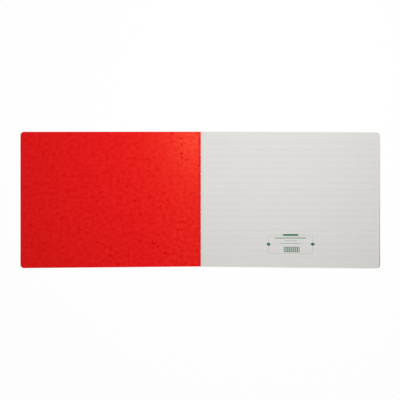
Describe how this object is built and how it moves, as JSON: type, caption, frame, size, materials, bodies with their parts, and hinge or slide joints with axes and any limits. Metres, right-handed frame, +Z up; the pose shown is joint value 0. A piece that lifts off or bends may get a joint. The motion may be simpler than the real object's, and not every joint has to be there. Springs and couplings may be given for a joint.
{
  "type": "columnar account book",
  "caption": "Landscape account book with a creased red card cover and a thread-sewn section of leaves, lying open flat so that its front cover and leaves turn about the fold.",
  "frame": {"origin": "on the table, under the middle of the fold between the open front cover and the pages", "axes": "+X across the open book from the front cover to the pages, +Y from the tail to the head, +Z up from the table"},
  "size_m": [0.64, 0.24, 0.0039],
  "materials": {
    "red_card": "smooth pressed card, mottled red",
    "ledger_paper": "matt white writing paper",
    "cotton_thread": "matt twisted thread"
  },
  "bodies": {
    "back_cover": {"back_cover": "red_card", "sewing_thread": "cotton_thread"},
    "front_cover": {"front_cover": "red_card"},
    "leaf_01": {"leaf_01": "ledger_paper"},
    "leaf_02": {"leaf_02": "ledger_paper"},
    "leaf_03": {"leaf_03": "ledger_paper"},
    "leaf_04": {"leaf_04": "ledger_paper"},
    "leaf_05": {"leaf_05": "ledger_paper"},
    "leaf_06": {"leaf_06": "ledger_paper"},
    "leaf_07": {"leaf_07": "ledger_paper"},
    "leaf_08": {"leaf_08": "ledger_paper"},
    "leaf_09": {"leaf_09": "ledger_paper"},
    "leaf_10": {"leaf_10": "ledger_paper"},
    "leaf_11": {"leaf_11": "ledger_paper"},
    "leaf_12": {"leaf_12": "ledger_paper"},
    "leaf_13": {"leaf_13": "ledger_paper"},
    "leaf_14": {"leaf_14": "ledger_paper"},
    "leaf_15": {"leaf_15": "ledger_paper"},
    "leaf_16": {"leaf_16": "ledger_paper"},
    "leaf_17": {"leaf_17": "ledger_paper"},
    "leaf_18": {"leaf_18": "ledger_paper"},
    "leaf_19": {"leaf_19": "ledger_paper"},
    "leaf_20": {"leaf_20": "ledger_paper"}
  },
  "joints": [
    {"name": "front_cover_hinge", "type": "hinge", "parent": "back_cover", "child": "front_cover", "pos_m": [0, 0, 0.00237], "axis": [0, -1, 0], "range_deg": [-180, 0]},
    {"name": "leaf_20_turn", "type": "hinge", "parent": "back_cover", "child": "leaf_20", "pos_m": [0, 0, 0.00237], "axis": [0, -1, 0], "range_deg": [0, 180]},
    {"name": "leaf_19_turn", "type": "hinge", "parent": "leaf_20", "child": "leaf_19", "pos_m": [0, 0, 0.00237], "axis": [0, -1, 0], "range_deg": [0, 180]},
    {"name": "leaf_18_turn", "type": "hinge", "parent": "leaf_19", "child": "leaf_18", "pos_m": [0, 0, 0.00237], "axis": [0, -1, 0], "range_deg": [0, 180]},
    {"name": "leaf_17_turn", "type": "hinge", "parent": "leaf_18", "child": "leaf_17", "pos_m": [0, 0, 0.00237], "axis": [0, -1, 0], "range_deg": [0, 180]},
    {"name": "leaf_16_turn", "type": "hinge", "parent": "leaf_17", "child": "leaf_16", "pos_m": [0, 0, 0.00237], "axis": [0, -1, 0], "range_deg": [0, 180]},
    {"name": "leaf_15_turn", "type": "hinge", "parent": "leaf_16", "child": "leaf_15", "pos_m": [0, 0, 0.00237], "axis": [0, -1, 0], "range_deg": [0, 180]},
    {"name": "leaf_14_turn", "type": "hinge", "parent": "leaf_15", "child": "leaf_14", "pos_m": [0, 0, 0.00237], "axis": [0, -1, 0], "range_deg": [0, 180]},
    {"name": "leaf_13_turn", "type": "hinge", "parent": "leaf_14", "child": "leaf_13", "pos_m": [0, 0, 0.00237], "axis": [0, -1, 0], "range_deg": [0, 180]},
    {"name": "leaf_12_turn", "type": "hinge", "parent": "leaf_13", "child": "leaf_12", "pos_m": [0, 0, 0.00237], "axis": [0, -1, 0], "range_deg": [0, 180]},
    {"name": "leaf_11_turn", "type": "hinge", "parent": "leaf_12", "child": "leaf_11", "pos_m": [0, 0, 0.00237], "axis": [0, -1, 0], "range_deg": [0, 180]},
    {"name": "leaf_10_turn", "type": "hinge", "parent": "leaf_11", "child": "leaf_10", "pos_m": [0, 0, 0.00237], "axis": [0, -1, 0], "range_deg": [0, 180]},
    {"name": "leaf_09_turn", "type": "hinge", "parent": "leaf_10", "child": "leaf_09", "pos_m": [0, 0, 0.00237], "axis": [0, -1, 0], "range_deg": [0, 180]},
    {"name": "leaf_08_turn", "type": "hinge", "parent": "leaf_09", "child": "leaf_08", "pos_m": [0, 0, 0.00237], "axis": [0, -1, 0], "range_deg": [0, 180]},
    {"name": "leaf_07_turn", "type": "hinge", "parent": "leaf_08", "child": "leaf_07", "pos_m": [0, 0, 0.00237], "axis": [0, -1, 0], "range_deg": [0, 180]},
    {"name": "leaf_06_turn", "type": "hinge", "parent": "leaf_07", "child": "leaf_06", "pos_m": [0, 0, 0.00237], "axis": [0, -1, 0], "range_deg": [0, 180]},
    {"name": "leaf_05_turn", "type": "hinge", "parent": "leaf_06", "child": "leaf_05", "pos_m": [0, 0, 0.00237], "axis": [0, -1, 0], "range_deg": [0, 180]},
    {"name": "leaf_04_turn", "type": "hinge", "parent": "leaf_05", "child": "leaf_04", "pos_m": [0, 0, 0.00237], "axis": [0, -1, 0], "range_deg": [0, 180]},
    {"name": "leaf_03_turn", "type": "hinge", "parent": "leaf_04", "child": "leaf_03", "pos_m": [0, 0, 0.00237], "axis": [0, -1, 0], "range_deg": [0, 180]},
    {"name": "leaf_02_turn", "type": "hinge", "parent": "leaf_03", "child": "leaf_02", "pos_m": [0, 0, 0.00237], "axis": [0, -1, 0], "range_deg": [0, 180]},
    {"name": "leaf_01_turn", "type": "hinge", "parent": "leaf_02", "child": "leaf_01", "pos_m": [0, 0, 0.00237], "axis": [0, -1, 0], "range_deg": [0, 180]}
  ]
}
